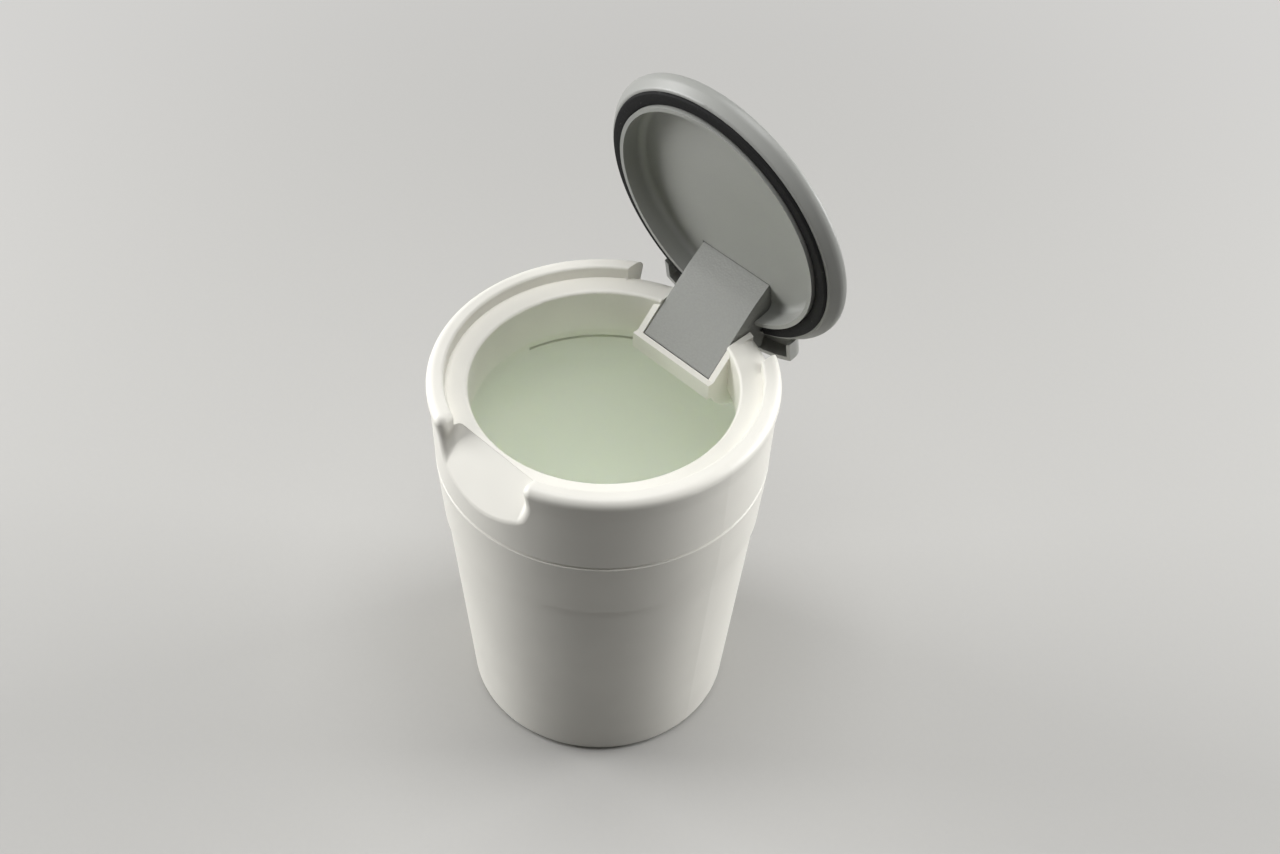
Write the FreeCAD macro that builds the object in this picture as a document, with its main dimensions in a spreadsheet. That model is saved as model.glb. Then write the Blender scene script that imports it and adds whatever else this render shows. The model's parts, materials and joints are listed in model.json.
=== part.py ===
"""Cup holder storage bin: a tapered cup, a collar snapped on it and a flip lid on a hinge block.

Millimetres. The origin is the middle of the cup's base, +Z is up, the hinge is at +Y and the
finger notch at -Y. The lid is drawn closed and turned open about the hinge pin at the end.
"""
import FreeCAD, Part
import math
import os
import Sketcher

doc = FreeCAD.newDocument("CupHolderBin")
sheet = doc.addObject("Spreadsheet::Sheet", "Sizes")

# Driving sizes, one line each. A level with the word "drop" is measured down from the ledge,
# one with the word "rise" up from it.
SIZES = {
    # cup
    "base_radius": 34.0,
    "band_height": 17.7,
    "band_taper": 1.4,
    "step_depth": 0.5,
    "joint_height": 83.6,
    "groove_chamfer": 0.5,
    "cup_wall": 1.8,
    "floor_thickness": 2.0,
    "base_recess": 0.8,
    "foot_width": 4.0,
    "base_round": 2.5,
    "floor_round": 3.0,
    "sleeve_rise": 7.0,
    "sleeve_wall": 1.7,
    "snap_clearance": 0.2,
    # collar
    "collar_low_radius": 41.7,
    "collar_height": 20.8,
    "collar_wall": 1.6,
    "collar_flare": 0.6,
    "shoulder_drop": 3.3,
    "shoulder_round": 8.8,
    "lip_overhang": 0.7,
    "lip_width": 4.4,
    "lip_rise": 3.5,
    "lip_outer_round": 2.2,
    "lip_land": 0.4,
    "lip_inner_round": 0.8,
    "ledge_width": 5.6,
    "ledge_thickness": 1.8,
    "opening_round": 0.8,
    "tube_wall": 1.6,
    "tube_drop": 12.7,
    "skirt_clearance": 0.4,
    "skirt_wall": 1.5,
    "skirt_drop": 23.4,
    "slit_drop": 18.3,
    "slit_height": 0.8,
    "slit_half_angle": 22.0,
    "slit_middle_angle": 56.0,
    # finger notch
    "notch_half_width": 13.8,
    "notch_setback": 1.3,
    "notch_start_drop": 0.2,
    "notch_end_drop": 14.0,
    "notch_wall": 1.6,
    "notch_corner_round": 1.5,
    "notch_edge_round": 2.0,
    # hinge
    "hinge_inset": 5.9,
    "hinge_drop": 6.2,
    "open_angle": 80.0,
    "pin_radius": 1.5,
    "pin_clearance": 0.03,
    "gap_half_width": 23.4,
    "gap_round": 5.2,
    "block_half_width": 11.3,
    "side_clearance": 0.35,
    "nose_radius": 11.2,
    "nose_clearance": 0.4,
    "nose_land_front": 1.08,
    "nose_land_back": 0.18,
    "pocket_wall": 1.7,
    "pocket_rim_drop": 7.1,
    "barrel_radius": 3.2,
    "slot_clearance": 0.8,
    "block_reach": 15.9,
    "block_bend_reach": 12.9,
    "block_bend_rise": 0.04,
    "block_bend_round": 18.0,
    "block_heel": 1.6,
    "block_back_rise": 1.5,
    "flange_width": 2.2,
    "flange_depth": 4.6,
    "flange_thickness": 0.6,
    # lid
    "lid_clearance": 0.6,
    "lid_edge_rise": 4.6,
    "lid_crown": 0.9,
    "cover_edge": 0.5,
    "cover_edge_round": 0.7,
    "cover_wall": 1.5,
    "cover_gap": 0.8,
    "cover_land": 2.2,
    "dome_inset": 2.9,
    "dome_round": 16.0,
    "tray_lip_rise": 1.0,
    "tray_lip_flat": 0.6,
    "tray_lip_round": 1.0,
    "tray_slope_rise": 3.6,
    "tray_edge_round": 2.5,
    "tray_wall": 1.5,
    "tray_shoulder_rise": 0.2,
    "tray_shoulder_inset": 1.7,
    "dish_rise": 5.7,
    "dish_round": 2.0,
    "spigot_clearance": 1.1,
    "spigot_rim": 1.1,
    "spigot_drop": 0.6,
    "seat_rise": 2.3,
    "gasket_rise": 0.3,
    "gasket_width": 3.4,
    "gasket_clearance": 0.05,
    "gasket_gap_half_width": 13.6,
    "groove_wall": 0.8,
    "hood_overhang": 0.2,
    "hood_clearance": 1.5,
    "hood_rim_rise": 1.0,
    "hood_top_rise": 6.0,
    "hood_wall": 1.2,
    "hood_round": 3.0,
}

# Sizes that follow from the driving ones, so that pieces which fit together keep together.
FOLLOWING = {
    "ledge_height": "joint_height + collar_height",
    "step_height": "joint_height - band_height",
    "step_radius": "collar_low_radius - band_taper - step_depth",
    "collar_radius": "collar_low_radius + collar_flare",
    "lip_radius": "collar_radius + lip_overhang",
    "lip_inner_radius": "lip_radius - lip_width",
    "opening_radius": "lip_inner_radius - ledge_width",
    "sleeve_radius": "collar_low_radius - collar_wall - snap_clearance",
    "sleeve_inner_radius": "sleeve_radius - sleeve_wall",
    "skirt_radius": "sleeve_inner_radius - skirt_clearance",
    "skirt_inner_radius": "skirt_radius - skirt_wall",
    "notch_start": "opening_radius + notch_setback",
    "hinge_reach": "collar_radius - hinge_inset",
    "block_front": "hinge_reach - block_reach",
    "flange_back": "block_front + flange_depth",
    "lid_radius": "lip_inner_radius - lid_clearance",
    "spigot_radius": "opening_radius - spigot_clearance",
    "groove_radius": "spigot_radius + gasket_width + 2 * gasket_clearance",
    "dome_radius": "spigot_radius - dome_inset",
    "dish_top_rise": "dish_rise + tray_wall",
    "hollow_rise": "dish_top_rise + cover_gap",
    "dome_rise": "hollow_rise + cover_wall",
    "hood_radius": "lip_radius + hood_overhang",
    "hood_half_width": "gap_half_width - hood_clearance",
    "pocket_half_width": "block_half_width + side_clearance",
    "cheek_half_width": "pocket_half_width + pocket_wall",
    "trough_radius": "nose_radius + nose_clearance",
    "pocket_front": "hinge_reach - trough_radius",
    "pocket_back": "collar_low_radius - collar_wall",
}
for row, (alias, value) in enumerate(SIZES.items(), start=1):
    sheet.set("A%d" % row, alias)
    sheet.set("B%d" % row, str(value))
    sheet.setAlias("B%d" % row, alias)
doc.recompute()


def size(expression):
    """Value of an expression over the sheet's aliases."""
    return float(sheet.evalExpression(bound(expression)))


def bound(expression):
    """The expression with each alias tied to the sheet."""
    words = []
    for word in expression.replace("(", " ( ").replace(")", " ) ").split():
        if word in FOLLOWING:
            words.append("( " + bound(FOLLOWING[word]) + " )")
        else:
            words.append("Sizes." + word if word in SIZES else word)
    return " ".join(words)


def rise(expression):
    """Level measured up from the ledge."""
    return "ledge_height + " + expression


def drop(expression):
    """Level measured down from the ledge."""
    return "ledge_height - ( " + expression + " )"


def origin_plane(body, role):
    """One of a body's own origin planes."""
    return next(plane for plane in body.Origin.OriginFeatures if plane.Role == role)


def outline(body, role, corners):
    """Closed sketch through corners, each a pair of expressions in the plane of the sketch."""
    sketch = body.newObject("Sketcher::SketchObject", body.Name + "Outline")
    sketch.AttachmentSupport = [(origin_plane(body, role), "")]
    sketch.MapMode = "FlatFace"
    points = [FreeCAD.Vector(size(across), size(up), 0) for across, up in corners]
    for start, end in zip(points, points[1:] + points[:1]):
        sketch.addGeometry(Part.LineSegment(start, end), False)
    count = len(points)
    for index in range(count):
        sketch.addConstraint(Sketcher.Constraint("Coincident", index, 2, (index + 1) % count, 1))
    for index, (across, up) in enumerate(corners):
        for kind, expression in (("DistanceX", across), ("DistanceY", up)):
            value = size(expression)
            number = sketch.addConstraint(Sketcher.Constraint(kind, -1, 1, index, 1, value))
            sketch.setExpression("Constraints[%d]" % number, bound(expression))
    return sketch


def turned(name, corners):
    """Body turned about the vertical axis from a half section of (radius, level) corners."""
    body = doc.addObject("PartDesign::Body", name)
    sketch = outline(body, "XZ_Plane", corners)
    turn = body.newObject("PartDesign::Revolution", name + "Turn")
    turn.Profile = sketch
    turn.ReferenceAxis = (sketch, ["V_Axis"])
    turn.Angle = 360
    doc.recompute()
    return body


def prism(name, corners, half_width):
    """Body of a side section of (reach, level) corners, as wide on both sides of the middle plane."""
    body = doc.addObject("PartDesign::Body", name)
    sketch = outline(body, "YZ_Plane", corners)
    pad = body.newObject("PartDesign::Pad", name + "Pad")
    pad.Profile = sketch
    pad.Midplane = True
    pad.setExpression("Length", bound("2 * ( " + half_width + " )"))
    doc.recompute()
    return body


def rounded(body, name, radius, wanted):
    """Fillet of a body's edges that the test picks."""
    base = body.Tip
    names = ["Edge%d" % (index + 1) for index, edge in enumerate(base.Shape.Edges) if wanted(edge)]
    fillet = body.newObject("PartDesign::Fillet", name)
    fillet.Base = (base, names)
    fillet.setExpression("Radius", bound(radius))
    doc.recompute()
    return fillet


def ring_at(radius, level):
    """Test for a level circle about the vertical axis."""
    across, up = size(radius), size(level)

    def wanted(edge):
        box = edge.BoundBox
        return (box.ZLength < 1e-6 and abs(box.ZMin - up) < 1e-4
                and abs(box.XMax - across) < 1e-4 and abs(box.XMin + across) < 1e-4)
    return wanted


def softened(name, base, radius, wanted):
    """Object with the edges that the test picks rounded."""
    doc.recompute()
    result = doc.addObject("Part::Fillet", name)
    result.Base = base
    value = size(radius)
    numbers = [index + 1 for index, edge in enumerate(base.Shape.Edges) if wanted(edge)]
    result.Edges = [(number, value, value) for number in numbers]
    return result


def block(name, low, high):
    """Box between two corners, each of three expressions."""
    box = doc.addObject("Part::Box", name)
    for prop, axis in (("Length", 0), ("Width", 1), ("Height", 2)):
        box.setExpression(prop, bound("( " + high[axis] + " ) - ( " + low[axis] + " )"))
    for axis, word in enumerate("xyz"):
        box.setExpression("Placement.Base." + word, bound(low[axis]))
    return box


def rod(name, radius, start, end):
    """Cylinder along X about the hinge axis."""
    bar = doc.addObject("Part::Cylinder", name)
    bar.setExpression("Radius", bound(radius))
    bar.setExpression("Height", bound("( " + end + " ) - ( " + start + " )"))
    bar.Placement.Rotation = FreeCAD.Rotation(FreeCAD.Vector(0, 1, 0), 90)
    bar.setExpression("Placement.Base.x", bound(start))
    bar.setExpression("Placement.Base.y", bound("hinge_reach"))
    bar.setExpression("Placement.Base.z", bound(HINGE_LEVEL))
    return bar


def drum(name, radius, low, high):
    """Upright cylinder about the cup's axis between two levels."""
    bar = doc.addObject("Part::Cylinder", name)
    bar.setExpression("Radius", bound(radius))
    bar.setExpression("Height", bound("( " + high + " ) - ( " + low + " )"))
    bar.setExpression("Placement.Base.z", bound(low))
    return bar


def cut(name, base, tool):
    """First object less the second."""
    result = doc.addObject("Part::Cut", name)
    result.Base = base
    result.Tool = tool
    result.Refine = False
    return result


def fuse(name, *pieces):
    """Objects joined into one."""
    result = doc.addObject("Part::MultiFuse", name)
    result.Shapes = list(pieces)
    result.Refine = False
    return result


def common(name, *pieces):
    """What all the objects share."""
    result = doc.addObject("Part::MultiCommon", name)
    result.Shapes = list(pieces)
    return result


HINGE_LEVEL = drop("hinge_drop")
FAR = "2 * collar_radius"
COLLAR_SIDE = [
    ("collar_radius", drop("shoulder_drop")),
    ("lip_radius", rise("lip_rise - lip_outer_round - lip_land")),
    ("lip_radius", rise("lip_rise")),
]


def make_cup():
    """Tapered cup with a thicker band at its top, a snap sleeve above the joint and a recessed base."""
    foot_inner = "base_radius - base_round - foot_width"
    inner_step = "step_radius - cup_wall"
    floor_top = "base_recess + floor_thickness"
    body = turned("CupShell", [
        ("0", "base_recess"),
        (foot_inner, "base_recess"),
        (foot_inner, "0"),
        ("base_radius", "0"),
        ("step_radius", "step_height"),
        ("step_radius + step_depth", "step_height"),
        ("collar_low_radius", "joint_height - groove_chamfer"),
        ("collar_low_radius - groove_chamfer", "joint_height"),
        ("sleeve_radius", "joint_height"),
        ("sleeve_radius", "joint_height + sleeve_rise"),
        ("sleeve_inner_radius", "joint_height + sleeve_rise"),
        ("sleeve_inner_radius", "joint_height"),
        (inner_step, "step_height"),
        ("base_radius - cup_wall", floor_top),
        ("0", floor_top),
    ])
    rounded(body, "BaseRound", "base_round", ring_at("base_radius", "0"))
    rounded(body, "FloorRound", "floor_round", ring_at("base_radius - cup_wall", floor_top))
    # The sleeve is open at the back, where the hinge pocket comes down between it and the skirt.
    room = block("SleeveGap", ("- ( cheek_half_width + snap_clearance )", "0", "joint_height"),
                 ("cheek_half_width + snap_clearance", FAR, "ledge_height"))
    return cut("Cup", body, room)


def round_side(body):
    """Rounds the lip and smooths the collar's side below it."""
    shoulder, lip_foot, lip_top = COLLAR_SIDE
    rounded(body, body.Name + "LipRound", "lip_outer_round", ring_at(*lip_top))
    rounded(body, body.Name + "Shoulder", "shoulder_round", ring_at(*shoulder))
    rounded(body, body.Name + "LipFoot", "lip_outer_round", ring_at(*lip_foot))


def lip_gap():
    """What is taken from the lip at the hinge: all above the ledge and above its rounded back edge."""
    core = turned("GapCore", [
        ("0", "joint_height"),
        ("collar_radius", "joint_height"),
        ("collar_radius", "ledge_height"),
        ("0", "ledge_height"),
    ])
    rounded(core, "GapRound", "gap_round", ring_at("collar_radius", "ledge_height"))
    room = block("GapRoom", ("- gap_half_width", "lip_inner_radius - gap_half_width", drop("gap_round")),
                 ("gap_half_width", FAR, rise("2 * lip_rise")))
    return cut("LipGap", room, core)


def notch_section(shift):
    """Corners of the finger notch, seen from the side, with its ramp moved down by shift."""
    ramp = "( notch_end_drop - notch_start_drop ) / ( collar_radius - notch_start )"
    reach = "- 2 * collar_radius"
    start_drop = "notch_start_drop + " + shift
    end_drop = start_drop + " + " + ramp + " * ( 2 * collar_radius - notch_start )"
    return [
        ("- notch_start + " + shift, rise("2 * lip_rise")),
        ("- notch_start + " + shift, drop(start_drop)),
        (reach, drop(end_drop)),
        (reach, rise("2 * lip_rise")),
    ]


def notched_form():
    """Solid of the collar's outer form with the finger notch in it, all the notch's edges rounded."""
    form = turned("OuterForm", [
        ("0", drop("skirt_drop")),
        ("skirt_radius", drop("skirt_drop")),
        ("skirt_radius", "joint_height"),
        ("collar_low_radius - groove_chamfer", "joint_height"),
        ("collar_low_radius", "joint_height + groove_chamfer"),
        *COLLAR_SIDE,
        ("0", rise("lip_rise")),
    ])
    round_side(form)
    room = prism("NotchRoom", notch_section("0"), "notch_half_width")
    inner_end = size("notch_start")

    def corner(edge):
        box = edge.BoundBox
        ramp_side = box.YLength > 1.0 and box.ZLength > 1.0
        end_side = box.YLength < 1e-6 and abs(box.YMin + inner_end) < 1e-4
        return box.XLength < 1e-6 and (ramp_side or end_side)
    rounded(room, "NotchCorner", "notch_corner_round", corner)
    half, top = size("notch_half_width"), size(rise("lip_rise"))
    wall, foot = size("sleeve_radius"), size("joint_height + groove_chamfer")

    def outer_edge(edge):
        middle = edge.valueAt((edge.FirstParameter + edge.LastParameter) / 2)
        on_top = abs(middle.z - top) < 1e-3
        on_side = math.hypot(middle.x, middle.y) > wall and middle.z > foot
        return middle.y < 0 and abs(middle.x) < half + 1e-3 and (on_top or on_side)
    return softened("NotchedForm", cut("FormCut", form, room), "notch_edge_round", outer_edge)


def inner_room():
    """Room inside the collar: over the ledge, through the opening tube and inside the skirt."""
    body = turned("InnerRoom", [
        ("0", drop("skirt_drop + skirt_wall")),
        ("skirt_inner_radius", drop("skirt_drop + skirt_wall")),
        ("skirt_inner_radius", drop("tube_drop")),
        ("opening_radius", drop("tube_drop")),
        ("opening_radius", "ledge_height"),
        ("lip_inner_radius", "ledge_height"),
        ("lip_inner_radius", rise("lip_rise")),
        ("lip_radius", rise("lip_rise")),
        ("lip_radius", rise("2 * lip_rise")),
        ("0", rise("2 * lip_rise")),
    ])
    rounded(body, "OpeningRound", "opening_round", ring_at("opening_radius", "ledge_height"))
    rounded(body, "LipInnerRound", "lip_inner_round", ring_at("lip_inner_radius", rise("lip_rise")))
    return body


def wall_cavity():
    """Cavity between the collar's outer wall and its tube and skirt, less the walls of the notch."""
    body = turned("WallCavity", [
        ("skirt_radius", "joint_height - groove_chamfer"),
        ("pocket_back", "joint_height - groove_chamfer"),
        ("pocket_back", "joint_height"),
        ("collar_radius - collar_wall", drop("ledge_thickness")),
        ("opening_radius + tube_wall", drop("ledge_thickness")),
        ("opening_radius + tube_wall", drop("tube_drop - tube_wall")),
        ("skirt_radius", drop("tube_drop - tube_wall")),
    ])
    walls = prism("NotchWalls", notch_section("notch_wall"), "notch_half_width + notch_wall")
    return cut("CavityLessNotch", body, walls)


def pocket_section():
    """Side section of the pocket's cheeks above the hinge's level, slanting down to the front rim."""
    return [
        ("pocket_front - pocket_wall", drop("hinge_drop + nose_radius / 2")),
        ("pocket_front - pocket_wall", drop("pocket_rim_drop")),
        ("pocket_front", drop("pocket_rim_drop")),
        ("pocket_front + pocket_rim_drop", "ledge_height"),
        ("pocket_back", "ledge_height"),
        ("pocket_back", drop("hinge_drop + nose_radius / 2")),
    ]


def make_collar():
    """Collar with its lip cut away at the hinge, the hinge pocket, the notch and the snap slits."""
    shell = cut("CollarShell", cut("CollarHollowed", notched_form(), inner_room()), wall_cavity())
    ring = cut("CollarGapped", shell, lip_gap())
    # Hinge pocket: a trough about the pin between two cheeks, inside the outer wall.
    trough = rod("Trough", "trough_radius + pocket_wall", "- cheek_half_width", "cheek_half_width")
    below = block("BelowRim", ("- cheek_half_width", "0", "joint_height"),
                  ("cheek_half_width", FAR, drop("pocket_rim_drop")))
    low_half = common("TroughLow", trough, below)
    cheeks = prism("Cheeks", pocket_section(), "cheek_half_width")
    inside = drum("InsideWall", "collar_low_radius - collar_wall / 2", "joint_height", "ledge_height")
    pocket = common("PocketSolid", fuse("PocketMass", low_half, cheeks), inside)
    mass = fuse("CollarMass", ring, pocket)
    # Room for the block, its way out through the back, the pin and the slits.
    swing = rod("SwingRoom", "trough_radius", "- pocket_half_width", "pocket_half_width")
    within = drum("SwingInside", "pocket_back", "joint_height", rise("2 * nose_radius"))
    over = block("OverRim", ("- pocket_half_width", "pocket_front", drop("hinge_drop")),
                 ("pocket_half_width", FAR, rise("2 * lip_rise")))
    back = block("BackSlot", ("- pocket_half_width", "hinge_reach",
                              drop("hinge_drop + barrel_radius + slot_clearance")),
                 ("pocket_half_width", FAR, rise("2 * lip_rise")))
    pin_hole = rod("PinHole", "pin_radius + pin_clearance", "- lip_radius",
                   "cheek_half_width + snap_clearance")
    room = fuse("CollarRoom", common("SwingPart", swing, within), over, back, pin_hole, *snap_slits())
    return cut("Collar", mass, room)


def snap_slits():
    """Two level slits in the skirt, one each side of the hinge, that free its snap tongues."""
    slits = []
    for side, sign in (("Left", 1), ("Right", -1)):
        wedge = doc.addObject("Part::Cylinder", "Slit" + side)
        wedge.setExpression("Radius", bound("skirt_radius + snap_clearance"))
        wedge.setExpression("Height", bound("slit_height"))
        wedge.setExpression("Angle", bound("2 * slit_half_angle"))
        wedge.setExpression("Placement.Base.z", bound(drop("slit_drop + slit_height / 2")))
        turn = "90 + %d * slit_middle_angle - slit_half_angle" % sign
        wedge.setExpression("Placement.Rotation.Angle", bound(turn))
        slits.append(wedge)
    return slits


def make_pin():
    """Plain steel pin, driven in from the left of the collar and flush with its outer wall there."""
    bar = rod("PinBar", "pin_radius", "- collar_radius", "cheek_half_width")
    skin = drum("PinInside", "collar_low_radius", "joint_height", "ledge_height")
    return common("HingePin", bar, skin)


def lid_tray():
    """Inner half of the lid: dish, spigot, gasket groove and the rounded lower edge."""
    floor_top = rise("dish_top_rise")
    seat_top = rise("seat_rise + tray_wall")
    lip_end = "groove_radius + tray_lip_flat"
    body = turned("TrayTurned", [
        ("0", rise("dish_rise")),
        ("spigot_radius - spigot_rim", rise("dish_rise")),
        ("spigot_radius - spigot_rim", drop("spigot_drop")),
        ("spigot_radius", drop("spigot_drop")),
        ("spigot_radius", rise("seat_rise")),
        ("groove_radius", rise("seat_rise")),
        ("groove_radius", rise("tray_lip_rise")),
        (lip_end, rise("tray_lip_rise")),
        ("lid_radius", rise("tray_slope_rise")),
        ("lid_radius", rise("lid_edge_rise")),
        ("groove_radius - groove_wall", rise("lid_edge_rise")),
        ("groove_radius - groove_wall", seat_top),
        ("spigot_radius + tray_wall / 2", seat_top),
        ("spigot_radius + tray_wall / 2", rise("dish_rise + tray_shoulder_rise")),
        ("spigot_radius - tray_shoulder_inset", floor_top),
        ("0", floor_top),
    ])
    rounded(body, "TrayLipRound", "tray_lip_round", ring_at(lip_end, rise("tray_lip_rise")))
    rounded(body, "TrayEdgeRound", "tray_edge_round", ring_at("lid_radius", rise("tray_slope_rise")))
    rounded(body, "DishRound", "dish_round", ring_at("spigot_radius - spigot_rim", rise("dish_rise")))
    return body


def hood_form(name, inset, low, high):
    """Sector behind the lid that fills the gap in the collar's lip, drawn in by inset."""
    half = "hood_half_width - " + inset
    round_part = drum(name + "Drum", "hood_radius - " + inset, low, high)
    side_part = block(name + "Sides", ("- ( " + half + " )", "gap_half_width", low), (half, FAR, high))
    return common(name, round_part, side_part)


def make_tray():
    """Tray with room for the block and with its edge cut away under the hood."""
    under_hood = block("UnderHood", ("- ( hood_half_width - hood_wall )", "gap_half_width", rise("0")),
                       ("hood_half_width - hood_wall", FAR, rise("dome_rise")))
    kept = drum("GrooveKept", "groove_radius + groove_wall", rise("0"), rise("dome_rise"))
    way = block("BlockWay", ("- pocket_half_width", "block_front - side_clearance", drop("hinge_drop")),
                ("pocket_half_width", FAR, rise("dome_rise")))
    return cut("LidTray", lid_tray(), fuse("TrayRoom", cut("HoodUnder", under_hood, kept), way))


def make_cover():
    """Outer half of the lid: a low dome with a rounded edge and the hood over the hinge."""
    dome = turned("CoverDome", [
        ("0", rise("lid_edge_rise")),
        ("lid_radius", rise("lid_edge_rise")),
        ("lid_radius", rise("lid_edge_rise + cover_edge")),
        ("dome_radius", rise("dome_rise")),
        ("0", rise("dome_rise + lid_crown")),
    ])
    rounded(dome, "CoverEdge", "cover_edge_round",
            ring_at("lid_radius", rise("lid_edge_rise + cover_edge")))
    rounded(dome, "DomeRound", "dome_round", ring_at("dome_radius", rise("dome_rise")))
    hollow = turned("CoverHollow", [
        ("0", rise("hood_rim_rise")),
        ("lid_radius - cover_land", rise("hood_rim_rise")),
        ("lid_radius - cover_land", rise("lid_edge_rise")),
        ("dome_radius", rise("hollow_rise")),
        ("0", rise("hollow_rise + lid_crown")),
    ])
    hood_top, hood_start = size(rise("hood_top_rise")), size("gap_half_width + hood_wall")

    def top_edge(edge):
        box = edge.BoundBox
        return abs(box.ZMin - hood_top) < 1e-4 and box.YMax > hood_start
    hood_outer = hood_form("HoodOuter", "0", rise("hood_rim_rise"), rise("hood_top_rise"))
    hood = softened("HoodRounded", hood_outer, "hood_round", top_edge)
    hood_hollow = hood_form("HoodInner", "hood_wall", rise("0"), rise("hood_top_rise - hood_wall"))
    lower = drum("TrayPlace", "lid_radius", rise("0"), rise("lid_edge_rise"))
    # Dome and hood are each opened first and then joined.
    dome_shell = cut("DomeShell", dome, hollow)
    hood_shell = cut("HoodShell", cut("HoodOverTray", hood, lower), hollow)
    return cut("LidCover", fuse("CoverShells", dome_shell, hood_shell), hood_hollow)


def make_gasket():
    """Rubber ring in the tray's groove, open at the hinge block."""
    inner = "spigot_radius + gasket_clearance"
    body = turned("GasketRing", [
        (inner, rise("gasket_rise")),
        (inner + " + gasket_width", rise("gasket_rise")),
        (inner + " + gasket_width", rise("seat_rise")),
        (inner, rise("seat_rise")),
    ])
    opening = block("GasketGap", ("- gasket_gap_half_width", "0", rise("0")),
                    ("gasket_gap_half_width", FAR, rise("seat_rise")))
    return cut("LidGasket", body, opening)


def make_block():
    """Hinge block: slanted ramp from the dish down to the nose, bored for the pin."""
    floor_top = rise("dish_top_rise")
    nose_bottom = drop("hinge_drop + nose_radius")
    back = "hinge_reach + barrel_radius"
    bend = "hinge_reach - block_bend_reach"
    body = prism("BlockForm", [
        ("block_front", floor_top),
        ("block_front", rise("dish_rise")),
        (bend, rise("block_bend_rise")),
        ("hinge_reach - nose_land_front", nose_bottom),
        ("hinge_reach - nose_land_back", nose_bottom),
        ("hinge_reach + block_heel", drop("hinge_drop + barrel_radius + slot_clearance")),
        (back, drop("hinge_drop")),
        (back, rise("block_back_rise")),
        ("flange_back", floor_top),
    ], "block_half_width")
    bend_reach, bend_level = size(bend), size(rise("block_bend_rise"))

    def at_bend(edge):
        middle = edge.CenterOfMass
        return abs(middle.y - bend_reach) < 1e-3 and abs(middle.z - bend_level) < 1e-3
    rounded(body, "BlockBend", "block_bend_round", at_bend)
    flange = block("BlockFlange",
                   ("- ( block_half_width + flange_width )", "block_front - flange_width", floor_top),
                   ("block_half_width + flange_width", "flange_back",
                    rise("dish_top_rise + flange_thickness")))
    bore = rod("BlockBore", "pin_radius + pin_clearance", "- collar_radius", "collar_radius")
    return cut("HingeBlock", fuse("BlockMass", body, flange), bore)


# Standing pieces first, then the lid's pieces, which turn open together about the pin.
STANDING = {"cup": make_cup(), "collar": make_collar(), "hinge_pin": make_pin()}
LID = {"lid_tray": make_tray(), "lid_cover": make_cover(), "lid_gasket": make_gasket(),
       "hinge_block": make_block()}
doc.recompute()

hinge = FreeCAD.Vector(0, size("hinge_reach"), size(HINGE_LEVEL))
opening_turn = FreeCAD.Rotation(FreeCAD.Vector(1, 0, 0), -size("open_angle"))
for piece in LID.values():
    piece.Placement = FreeCAD.Placement(FreeCAD.Vector(0, 0, 0), opening_turn, hinge)
doc.recompute()

for item in doc.Objects:
    if "Invalid" in item.State or "Error" in item.State:
        raise RuntimeError("failed: %s %s" % (item.Name, item.State))

os.makedirs("parts", exist_ok=True)
for node, piece in {**STANDING, **LID}.items():
    piece.Label = node
    shape = piece.Shape
    if shape.isNull() or not shape.isValid() or not shape.Solids:
        raise RuntimeError("no sound solid: " + node)
    print(node, len(shape.Solids), round(shape.Volume, 1), shape.BoundBox)
    shape.exportStep("parts/%s.step" % node)
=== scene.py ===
import json
import math
import bpy
from mathutils import Matrix, Vector


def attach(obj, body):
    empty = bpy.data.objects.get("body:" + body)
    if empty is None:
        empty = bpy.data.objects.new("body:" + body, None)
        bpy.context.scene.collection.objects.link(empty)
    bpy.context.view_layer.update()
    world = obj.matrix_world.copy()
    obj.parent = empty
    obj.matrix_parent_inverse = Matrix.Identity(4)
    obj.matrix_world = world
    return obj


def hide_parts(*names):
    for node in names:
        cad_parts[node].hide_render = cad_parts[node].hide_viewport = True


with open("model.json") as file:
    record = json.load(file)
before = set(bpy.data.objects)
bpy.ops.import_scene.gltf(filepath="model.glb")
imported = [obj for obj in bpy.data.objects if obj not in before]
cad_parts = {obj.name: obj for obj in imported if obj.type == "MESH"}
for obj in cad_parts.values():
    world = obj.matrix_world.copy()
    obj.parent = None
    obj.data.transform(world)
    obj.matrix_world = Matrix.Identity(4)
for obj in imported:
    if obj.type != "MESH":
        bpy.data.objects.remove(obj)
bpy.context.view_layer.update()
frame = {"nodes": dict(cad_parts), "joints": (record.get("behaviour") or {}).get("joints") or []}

bl_info = {
    "name": "Cup Holder Storage Bin",
    "version": (1, 0, 0),
    "blender": (4, 5, 0),
    "location": "View3D > Sidebar > Storage Bin",
    "description": "Moulded plastic, rubber seal and studio stage of a cup holder storage bin",
    "category": "Object",
}

MM = 0.001
HINGE = next(joint for joint in frame["joints"] if joint["name"] == "lid_hinge")
HINGE_AT = Vector(HINGE["pos_m"])
OPEN_ANGLE = math.radians(HINGE["range_deg"][1])
# Height of the ledge that the lid closes on, and how far the lid's dome rises above it.
LEDGE = 104.4 * MM
DOME_RISE = 10.4 * MM
# The lid is drawn closed and stands open at rest.
OPENED = Matrix.Translation(HINGE_AT) @ Matrix.Rotation(-OPEN_ANGLE, 4, "X") @ Matrix.Translation(-HINGE_AT)
LID_TOP = OPENED @ Vector((0, 0, LEDGE + DOME_RISE))
# Where the picture was taken from, and the level directions to its right and straight ahead.
CAMERA_AT = Vector((247.6, -243.0, 443.3)) * MM
CAMERA_AZIMUTH = math.radians(44.03)
CAMERA_PITCH = math.radians(45.57)
CAMERA_ROLL = -0.03902
ASIDE = Vector((math.cos(CAMERA_AZIMUTH), math.sin(CAMERA_AZIMUTH), 0))
BEHIND = Vector((-math.sin(CAMERA_AZIMUTH), math.cos(CAMERA_AZIMUTH), 0))


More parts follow.
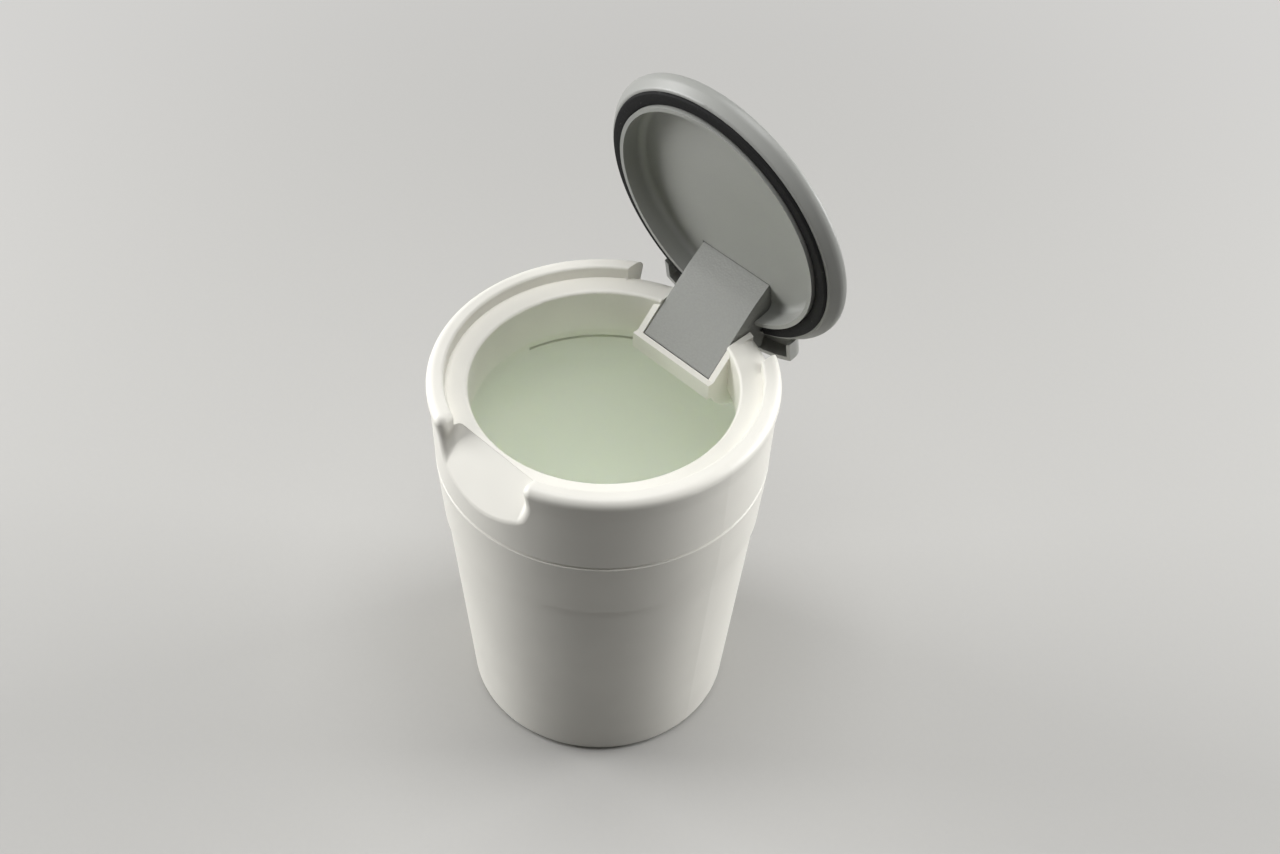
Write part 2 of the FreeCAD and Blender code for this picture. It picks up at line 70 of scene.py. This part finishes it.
def linear(code):
    """Linear RGBA of an sRGB hex colour."""
    channels = [int(code[at:at + 2], 16) / 255 for at in (1, 3, 5)]
    return (*[c / 12.92 if c <= 0.04045 else ((c + 0.055) / 1.055) ** 2.4 for c in channels], 1.0)


def colour(name, description, code):
    """Colour property that starts at an sRGB hex value."""
    return bpy.props.FloatVectorProperty(name=name, description=description, subtype="COLOR", size=4,
                                         min=0, max=1, default=linear(code))


def length(name, description, millimetres):
    """Length property that starts at a size in millimetres."""
    return bpy.props.FloatProperty(name=name, description=description, unit="LENGTH", precision=5,
                                   default=millimetres * MM)


class BinColours(bpy.types.PropertyGroup):
    """Colours of the mouldings, the seal, the pin and the stage."""
    shell: colour("Shell", "White of the cup and the collar", "#F2F0E8")
    # Painted light: a paler mint white on the inner walls that stands in for light bounced inside the cup.
    inside: colour("Inside", "Pale mint cast of the inner walls", "#F7FAF3")
    lid: colour("Lid", "Grey of the lid's two halves", "#9D9E9A")
    block: colour("Hinge block", "Grey of the textured hinge block", "#9A9B97")
    seal: colour("Seal", "Black of the rubber seal", "#0D0D0E")
    dust: colour("Dust", "Lint caught on the rubber", "#5B5A57")
    pin: colour("Pin", "Drawn steel of the hinge pin", "#B9BBBD")
    floor: colour("Floor light", "Grey of the light that the paper throws back", "#858482")
    paper: colour("Paper", "Pale studio paper as it is looked at", "#C0BFBC")
    backdrop: colour("Backdrop", "Pale ground far behind the bin", "#D6D5D3")


class BinSizes(bpy.types.PropertyGroup):
    """Sizes of the surface grains and of the seal, and the camera's lens."""
    satin_grain: length("Satin grain", "Grain of the spark-eroded satin on the white shell", 0.45)
    flow_mark: length("Flow mark", "Width of the faint cloudiness left by the moulding", 26.0)
    glow_depth: length("Glow depth", "How far light spreads inside the white wall", 1.5)
    lid_grain: length("Lid grain", "Grain of the fine satin on the lid", 0.4)
    pebble: length("Pebble", "Size of the coarse pebbles on the hinge block", 0.55)
    drawn_line: length("Drawn line", "Spacing of the drawing lines along the pin", 0.2)
    speck: length("Speck", "Spacing of the lint on the rubber", 2.2)
    seal_radius: length("Seal radius", "Inner radius of the seal", 31.95)
    seal_width: length("Seal width", "Width of the seal's face", 3.4)
    seal_rise: length("Seal rise", "Height of the seal's face above the ledge", 0.3)
    seal_depth: length("Seal depth", "Thickness of the seal in its groove", 2.0)
    seal_round: length("Seal round", "Round of the seal's edges", 0.55)
    seal_gap: length("Seal gap", "Half width of the seal's opening at the hinge block", 13.6)
    camera_lens: bpy.props.FloatProperty(name="Lens", description="Focal length on a 36 mm wide frame",
                                         default=56.25, unit="CAMERA")


def add(tree, kind, settings=(), values=(), links=()):
    """Adds a node with its settings, its socket values and the outputs that feed it."""
    node = tree.nodes.new(kind)
    for name, value in dict(settings).items():
        setattr(node, name, value)
    for socket, value in dict(values).items():
        node.inputs[socket].default_value = value
    for socket, source in dict(links).items():
        tree.links.new(source, node.inputs[socket])
    return node


def surface(name):
    """New material with an empty tree: the material, its tree, its shader and its object coordinates."""
    material = bpy.data.materials.new(name)
    material.use_nodes = True
    tree = material.node_tree
    tree.nodes.clear()
    shader = add(tree, "ShaderNodeBsdfPrincipled")
    add(tree, "ShaderNodeOutputMaterial", links={"Surface": shader.outputs["BSDF"]})
    place = add(tree, "ShaderNodeTexCoord").outputs["Object"]
    return material, tree, shader, place


def grain(tree, place, size, depth, detail=3.0):
    """Noise of a grain size in metres, and the bump of that depth in metres."""
    noise = add(tree, "ShaderNodeTexNoise", values={"Scale": 1 / size, "Detail": detail, "Roughness": 0.55},
                links={"Vector": place})
    bump = add(tree, "ShaderNodeBump", values={"Strength": 1.0, "Distance": depth},
               links={"Height": noise.outputs["Fac"]})
    return noise, bump


def spread(tree, source, low, high, start=0.0, end=1.0):
    """Maps a value between two bounds on to another range, smoothly."""
    return add(tree, "ShaderNodeMapRange", settings={"interpolation_type": "SMOOTHSTEP"},
               values={"From Min": start, "From Max": end, "To Min": low, "To Max": high},
               links={"Value": source}).outputs["Result"]


def shaded(tree, factor, first, second):
    """Blend of two colours, each a value or an output, by a factor."""
    values, links = {}, {0: factor}
    for socket, tint in ((6, first), (7, second)):
        (links if isinstance(tint, bpy.types.NodeSocket) else values)[socket] = tint
    return add(tree, "ShaderNodeMix", settings={"data_type": "RGBA"}, values=values, links=links).outputs[2]


def combined(tree, operation, first, second):
    """Two outputs combined by a sum, such as MULTIPLY or MAXIMUM."""
    return add(tree, "ShaderNodeMath", settings={"operation": operation},
               links={0: first, 1: second}).outputs["Value"]


def duller(tint, share):
    """A colour darkened to a share of itself."""
    return tuple(channel * share for channel in tint[:3]) + (1.0,)


def clouded(tree, place, width, tint, share):
    """A colour with the faint cloudiness that moulding leaves, which darkens it to a share."""
    cloud = add(tree, "ShaderNodeTexNoise", values={"Scale": 1 / width, "Detail": 2.0},
                links={"Vector": place}).outputs["Fac"]
    return shaded(tree, spread(tree, cloud, 0.0, 1.0, 0.3, 0.7), tuple(tint), duller(tint, share))


def roughened(tree, shader, noise, bump, low, high):
    """Lets a noise vary the roughness between two bounds, and a bump tip the surface."""
    tree.links.new(spread(tree, noise.outputs["Fac"], low, high, 0.3, 0.7), shader.inputs["Roughness"])
    tree.links.new(bump.outputs["Normal"], shader.inputs["Normal"])


def moulded_polypropylene(sizes, colours):
    """White moulded polypropylene with a spark-eroded satin finish.

    The eye sees a soft, nearly matt white with a broad weak highlight and a faint cloudiness. Inside, light
    that has crossed the walls many times takes on a pale mint tint. That tint is painted light: the inner
    walls get a paler mint white than the outside.
    """
    material, tree, shader, place = surface("moulded_white_polypropylene")
    axes = add(tree, "ShaderNodeSeparateXYZ", links={"Vector": place})
    height = axes.outputs["Z"]
    flat = add(tree, "ShaderNodeCombineXYZ", links={"X": axes.outputs["X"], "Y": axes.outputs["Y"]})
    radius = add(tree, "ShaderNodeVectorMath", settings={"operation": "LENGTH"},
                 links={"Vector": flat.outputs["Vector"]}).outputs["Value"]
    # Middle of the wall at each height: what lies inside it is inner wall.
    foot_radius, taper, widest_radius, edge = 33.1 * MM, 0.088, 38.6 * MM, 0.2 * MM
    wall = add(tree, "ShaderNodeMath", settings={"operation": "MULTIPLY_ADD"},
               values={1: taper, 2: foot_radius}, links={0: height}).outputs["Value"]
    wall = add(tree, "ShaderNodeMath", settings={"operation": "MINIMUM"}, values={1: widest_radius},
               links={0: wall}).outputs["Value"]
    inner = spread(tree, combined(tree, "SUBTRACT", wall, radius), 0.0, 1.0, -edge, edge)
    # The painted mint tint fades out below the ledge, and high up only the opening's tube counts as inside.
    sunk = spread(tree, height, 1.0, 0.0, LEDGE - 26.0 * MM, LEDGE - 6.0 * MM)
    high_up = spread(tree, height, 0.0, 1.0, 84.0 * MM, 92.0 * MM)
    tube = spread(tree, radius, 1.0, 0.0, 33.3 * MM, 36.0 * MM)
    opened = combined(tree, "MAXIMUM", tube, spread(tree, high_up, 1.0, 0.0))
    # Painted light: this marks where the inner walls get the paler mint white that stands in for light
    # bounced inside the cup.
    painted_cast = combined(tree, "MULTIPLY", combined(tree, "MULTIPLY", inner, sunk), opened)
    white = clouded(tree, place, sizes.flow_mark, colours.shell, 0.95)
    tree.links.new(shaded(tree, painted_cast, white, tuple(colours.inside)), shader.inputs["Base Color"])
    # Real satin grain is near 0.1 mm: it is drawn coarser so that it shows at this distance.
    noise, bump = grain(tree, place, sizes.satin_grain, 0.012 * MM)
    roughened(tree, shader, noise, bump, 0.4, 0.5)
    shader.inputs["IOR"].default_value = 1.49
    # The thin walls let some light through, which shows on their inner side.
    tree.links.new(spread(tree, painted_cast, 0.0, 0.6), shader.inputs["Subsurface Weight"])
    shader.inputs["Subsurface Radius"].default_value = (0.95, 1.0, 0.85)
    shader.inputs["Subsurface Scale"].default_value = sizes.glow_depth
    return material


def satin_abs(sizes, colours):
    """Grey moulded ABS with a fine satin finish.

    The eye sees an even cool grey with a soft sheen along the rounded rim.
    """
    material, tree, shader, place = surface("moulded_grey_abs_satin")
    grey = clouded(tree, place, sizes.flow_mark, colours.lid, 0.92)
    tree.links.new(grey, shader.inputs["Base Color"])
    # Drawn coarser than the real 0.1 mm grain, to show at this distance.
    noise, bump = grain(tree, place, sizes.lid_grain, 0.01 * MM)
    # The middle of the low dome is shaded by its flat faces, which meet in one point there.
    off_middle = add(tree, "ShaderNodeVectorMath", settings={"operation": "DISTANCE"}, values={1: LID_TOP},
                     links={0: place}).outputs["Value"]
    faces = add(tree, "ShaderNodeNewGeometry")
    even = add(tree, "ShaderNodeMix", settings={"data_type": "VECTOR"},
               links={0: spread(tree, off_middle, 1.0, 0.0, 8.0 * MM, 12.0 * MM),
                      4: faces.outputs["Normal"], 5: faces.outputs["True Normal"]}).outputs[1]
    tree.links.new(even, bump.inputs["Normal"])
    roughened(tree, shader, noise, bump, 0.36, 0.46)
    shader.inputs["IOR"].default_value = 1.54
    return material


def pebbled_abs(sizes, colours):
    """Grey moulded ABS with a coarse spark-eroded pebble.

    The eye sees a dry, leathery surface of rounded lumps, each lit on its upper side.
    """
    material, tree, shader, place = surface("moulded_grey_abs_pebbled")
    cells = add(tree, "ShaderNodeTexVoronoi", settings={"feature": "SMOOTH_F1"},
                values={"Scale": 1 / sizes.pebble, "Smoothness": 0.8, "Randomness": 1.0},
                links={"Vector": place}).outputs["Distance"]
    lump = spread(tree, cells, 1.0, 0.0, 0.1, 0.75)
    noise, fine = grain(tree, place, sizes.pebble / 2, 0.012 * MM)
    bump = add(tree, "ShaderNodeBump", values={"Strength": 1.0, "Distance": 0.035 * MM},
               links={"Height": lump, "Normal": fine.outputs["Normal"]})
    # Painted shade: the hollows between the lumps are painted a little darker than their tops.
    grey = shaded(tree, lump, duller(colours.block, 0.95), tuple(colours.block))
    tree.links.new(grey, shader.inputs["Base Color"])
    roughened(tree, shader, noise, bump, 0.48, 0.6)
    shader.inputs["IOR"].default_value = 1.54
    return material


def moulded_rubber(sizes, colours):
    """Black EPDM rubber, moulded.

    The eye sees a flat deep black with hardly a highlight and a few pale specks of lint.
    """
    material, tree, shader, place = surface("moulded_black_epdm_rubber")
    dots = add(tree, "ShaderNodeTexVoronoi", values={"Scale": 1 / sizes.speck}, links={"Vector": place})
    near = spread(tree, dots.outputs["Distance"], 1.0, 0.0, 0.04, 0.1)
    shade = add(tree, "ShaderNodeSeparateColor", links={"Color": dots.outputs["Color"]}).outputs["Red"]
    lint = combined(tree, "MULTIPLY", near, spread(tree, shade, 0.0, 1.0, 0.55, 0.95))
    black = shaded(tree, lint, tuple(colours.seal), tuple(colours.dust))
    tree.links.new(black, shader.inputs["Base Color"])
    noise, bump = grain(tree, place, sizes.lid_grain, 0.02 * MM)
    roughened(tree, shader, noise, bump, 0.66, 0.8)
    shader.inputs["IOR"].default_value = 1.5
    shader.inputs["Specular IOR Level"].default_value = 0.2
    return material


def drawn_steel(sizes, colours):
    """Drawn steel rod.

    The eye sees a bright grey metal with fine lines along the pin.
    """
    material, tree, shader, place = surface("drawn_steel")
    along = add(tree, "ShaderNodeMapping", values={"Scale": (0.02, 1.0, 1.0)}, links={"Vector": place})
    noise, bump = grain(tree, along.outputs["Vector"], sizes.drawn_line, 0.004 * MM)
    steel = shaded(tree, noise.outputs["Fac"], tuple(colours.pin), duller(colours.pin, 0.8))
    tree.links.new(steel, shader.inputs["Base Color"])
    roughened(tree, shader, noise, bump, 0.26, 0.38)
    shader.inputs["Metallic"].default_value = 1.0
    return material


def seen_straight(tree):
    """One where the stage is looked at, straight or in a gloss, and nought where it would give light."""
    path = add(tree, "ShaderNodeLightPath")
    seen = path.outputs["Is Camera Ray"]
    for kind in ("Is Glossy Ray", "Is Transmission Ray"):
        seen = combined(tree, "MAXIMUM", seen, path.outputs[kind])
    return seen


def studio_paper(colours):
    """Pale grey studio paper.

    The eye sees an even matt ground that holds a soft shadow and runs pale into the distance.
    """
    material, tree, shader, place = surface("matt_studio_paper")
    fibre = add(tree, "ShaderNodeTexNoise", values={"Scale": 1 / (1.5 * MM), "Detail": 4.0},
                links={"Vector": place}).outputs["Fac"]
    # Looked at, the paper is pale. The light that it throws on the bin is that of a greyer sheet.
    seen = seen_straight(tree)
    seen_paper = shaded(tree, fibre, tuple(colours.paper), duller(colours.paper, 0.97))
    tone = shaded(tree, seen, tuple(colours.floor), seen_paper)
    tree.links.new(tone, shader.inputs["Base Color"])
    shader.inputs["Roughness"].default_value = 0.9
    # Past the bin's shadow the paper runs into the pale ground behind, over these distances in metres.
    fade_start, fade_end = 0.18, 0.5
    far = add(tree, "ShaderNodeVectorMath", settings={"operation": "LENGTH"},
              links={"Vector": place}).outputs["Value"]
    distant = combined(tree, "MULTIPLY", spread(tree, far, 0.0, 1.0, fade_start, fade_end), seen)
    pale = add(tree, "ShaderNodeEmission", values={"Color": tuple(colours.backdrop), "Strength": 1.0})
    output = shader.outputs["BSDF"].links[0].to_node
    ground = add(tree, "ShaderNodeMixShader",
                 links={0: distant, 1: shader.outputs["BSDF"], 2: pale.outputs["Emission"]})
    tree.links.new(ground.outputs["Shader"], output.inputs["Surface"])
    return material


def dress(node, material):
    """Gives a CAD node its finish."""
    piece = frame["nodes"][node]
    for holder in piece.material_slots:
        holder.material = material


def deselect():
    """Leaves nothing selected, in object mode."""
    if bpy.context.object and bpy.context.object.mode != "OBJECT":
        bpy.ops.object.mode_set(mode="OBJECT")
    bpy.ops.object.select_all(action="DESELECT")


class BIN_OT_shell(bpy.types.Operator):
    """Finishes the cup and its collar as white satin mouldings"""
    bl_idname = "storage_bin.shell"
    bl_label = "White Shell"

    def execute(self, context):
        material = moulded_polypropylene(context.scene.bin_sizes, context.scene.bin_colours)
        for node in ("cup", "collar"):
            dress(node, material)
        return {"FINISHED"}


class BIN_OT_lid(bpy.types.Operator):
    """Finishes the lid's two halves as grey satin mouldings"""
    bl_idname = "storage_bin.lid"
    bl_label = "Grey Lid"

    def execute(self, context):
        material = satin_abs(context.scene.bin_sizes, context.scene.bin_colours)
        for node in ("lid_tray", "lid_cover"):
            dress(node, material)
        return {"FINISHED"}


class BIN_OT_hinge(bpy.types.Operator):
    """Finishes the pebbled hinge block and its steel pin"""
    bl_idname = "storage_bin.hinge"
    bl_label = "Hinge"

    def execute(self, context):
        sizes, colours = context.scene.bin_sizes, context.scene.bin_colours
        dress("hinge_block", pebbled_abs(sizes, colours))
        dress("hinge_pin", drawn_steel(sizes, colours))
        return {"FINISHED"}


class BIN_OT_seal(bpy.types.Operator):
    """Models the lid's rubber seal: a rounded section spun round the lid and cut open at the hinge block"""
    bl_idname = "storage_bin.seal"
    bl_label = "Rubber Seal"

    def execute(self, context):
        sizes = context.scene.bin_sizes
        deselect()
        middle = Vector((0.0, -(sizes.seal_radius + sizes.seal_width / 2),
                         LEDGE + sizes.seal_rise + sizes.seal_depth / 2))
        # The section stands in the plane X = 0, on the notch side, opposite the opening.
        bpy.ops.mesh.primitive_plane_add(size=1, location=middle, rotation=(0, math.radians(90), 0))
        seal = context.object
        seal.name = "rubber_seal"
        seal.scale = (sizes.seal_depth, sizes.seal_width, 1)
        bpy.ops.object.transform_apply(location=True, rotation=True, scale=True)
        bpy.ops.object.mode_set(mode="EDIT")
        bpy.ops.mesh.select_all(action="SELECT")
        bpy.ops.mesh.bevel(offset=sizes.seal_round, segments=4, affect="VERTICES")
        # Only the section's outline is spun, so that the ring is a skin with nothing inside.
        bpy.ops.mesh.select_all(action="SELECT")
        bpy.ops.mesh.delete(type="ONLY_FACE")
        bpy.ops.mesh.select_all(action="SELECT")
        bpy.ops.mesh.spin(steps=160, angle=2 * math.pi, center=(0, 0, 0), axis=(0, 0, 1))
        bpy.ops.mesh.select_all(action="SELECT")
        bpy.ops.mesh.remove_doubles(threshold=0.01 * MM)
        bpy.ops.mesh.select_mode(type="FACE")
        for sign in (1, -1):
            self.cut_end(seal, sign, sizes.seal_gap)
        bpy.ops.mesh.select_all(action="SELECT")
        bpy.ops.mesh.normals_make_consistent(inside=False)
        bpy.ops.object.mode_set(mode="OBJECT")
        bpy.ops.object.shade_smooth_by_angle(angle=math.radians(40))
        seal.matrix_world = OPENED
        bpy.ops.object.transform_apply(location=True, rotation=True, scale=True)
        seal.data.materials.append(moulded_rubber(sizes, context.scene.bin_colours))
        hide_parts("lid_gasket")
        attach(seal, "lid")
        if not seal.data.polygons:
            raise RuntimeError("the seal came out empty")
        deselect()
        return {"FINISHED"}

    def cut_end(self, seal, sign, gap):
        """Cuts the hinge side of the ring off at one edge of the opening and closes the end."""
        bpy.ops.mesh.select_all(action="DESELECT")
        bpy.ops.object.mode_set(mode="OBJECT")
        past_middle = 1.0 * MM
        for face in seal.data.polygons:
            face.select = face.center.y > 0 and sign * face.center.x > -past_middle
        bpy.ops.object.mode_set(mode="EDIT")
        bpy.ops.mesh.bisect(plane_co=(sign * gap, 0, 0), plane_no=(sign, 0, 0), use_fill=True,
                            clear_inner=True)


class BIN_OT_stage(bpy.types.Operator):
    """Sets the pale floor, the soft lights and the camera"""
    bl_idname = "storage_bin.stage"
    bl_label = "Studio Stage"

    def execute(self, context):
        deselect()
        bpy.ops.mesh.primitive_plane_add(size=4.0, location=(0, 0, 0))
        floor = context.object
        floor.name = "studio_floor"
        floor.data.materials.append(studio_paper(context.scene.bin_colours))
        deselect()
        self.place_camera(context)
        self.place_lights(context)
        self.place_room(context)
        context.scene.view_settings.view_transform = "Standard"
        # The cup's inside is lit by light thrown to and fro between its white walls.
        context.scene.cycles.diffuse_bounces = 12
        return {"FINISHED"}

    def place_camera(self, context):
        """Camera as the picture was taken: from the right of the notch, looking half down."""
        ahead = math.cos(CAMERA_PITCH) * BEHIND - math.sin(CAMERA_PITCH) * Vector((0, 0, 1))
        below = ahead.cross(ASIDE)
        right = math.cos(CAMERA_ROLL) * ASIDE + math.sin(CAMERA_ROLL) * below
        down = math.cos(CAMERA_ROLL) * below - math.sin(CAMERA_ROLL) * ASIDE
        data = bpy.data.cameras.new("studio_camera")
        data.lens, data.sensor_width = context.scene.bin_sizes.camera_lens, 36.0
        data.clip_start, data.clip_end = 0.01, 20.0
        camera = bpy.data.objects.new("studio_camera", data)
        turn = Matrix((right, -down, -ahead)).transposed()
        camera.matrix_world = Matrix.Translation(CAMERA_AT) @ turn.to_4x4()
        context.scene.collection.objects.link(camera)
        context.scene.camera = camera

    def place_lights(self, context):
        """Large overhead box and a soft box at each side, a little behind, so the front stays in shade."""
        lit_point = Vector((0, 0, 0.07))
        beside = 0.75 * ASIDE
        stand = 0.16 * BEHIND + Vector((0, 0, 0.24))
        boxes = (
            ("overhead_box", Vector((0, 0, 0.95)) - 0.02 * BEHIND, 0.6, 6.1),
            ("left_box", stand - beside, 0.42, 5.9),
            ("right_box", stand + beside, 0.42, 5.6),
        )
        for name, place, width, power in boxes:
            data = bpy.data.lights.new(name, "AREA")
            data.shape, data.size, data.energy = "SQUARE", width, power
            lamp = bpy.data.objects.new(name, data)
            lamp.location = place
            lamp.rotation_mode = "QUATERNION"
            lamp.rotation_quaternion = (lit_point - place).to_track_quat("-Z", "Y")
            context.scene.collection.objects.link(lamp)

    def place_room(self, context):
        """Room that gives a little even light, and shows as a pale ground where it is looked at."""
        world = bpy.data.worlds.new("studio_room")
        world.use_nodes = True
        tree = world.node_tree
        tree.nodes.clear()
        room = add(tree, "ShaderNodeBackground", values={"Color": linear("#E9E9E9"), "Strength": 0.03})
        pale = add(tree, "ShaderNodeBackground",
                   values={"Color": tuple(context.scene.bin_colours.backdrop), "Strength": 1.0})
        both = add(tree, "ShaderNodeMixShader",
                   links={0: seen_straight(tree), 1: room.outputs["Background"],
                          2: pale.outputs["Background"]})
        add(tree, "ShaderNodeOutputWorld", links={"Surface": both.outputs["Shader"]})
        context.scene.world = world


class BIN_PT_panel(bpy.types.Panel):
    """Lists the bin's pieces, sizes and colours"""
    bl_idname = "BIN_PT_panel"
    bl_label = "Storage Bin"
    bl_space_type = "VIEW_3D"
    bl_region_type = "UI"
    bl_category = "Storage Bin"

    def draw(self, context):
        for operator in OPERATORS:
            self.layout.operator(operator.bl_idname)
        for group in (context.scene.bin_sizes, context.scene.bin_colours):
            column = self.layout.column(align=True)
            for name in group.__annotations__:
                column.prop(group, name)


OPERATORS = (BIN_OT_shell, BIN_OT_lid, BIN_OT_hinge, BIN_OT_seal, BIN_OT_stage)
CLASSES = (BinColours, BinSizes, *OPERATORS, BIN_PT_panel)


def register():
    for entry in CLASSES:
        bpy.utils.register_class(entry)
    bpy.types.Scene.bin_colours = bpy.props.PointerProperty(type=BinColours)
    bpy.types.Scene.bin_sizes = bpy.props.PointerProperty(type=BinSizes)


def unregister():
    del bpy.types.Scene.bin_sizes
    del bpy.types.Scene.bin_colours
    for entry in reversed(CLASSES):
        bpy.utils.unregister_class(entry)


def main():
    register()
    bpy.ops.storage_bin.shell()
    bpy.ops.storage_bin.lid()
    bpy.ops.storage_bin.hinge()
    bpy.ops.storage_bin.seal()
    bpy.ops.storage_bin.stage()


if __name__ == "__main__":
    main()
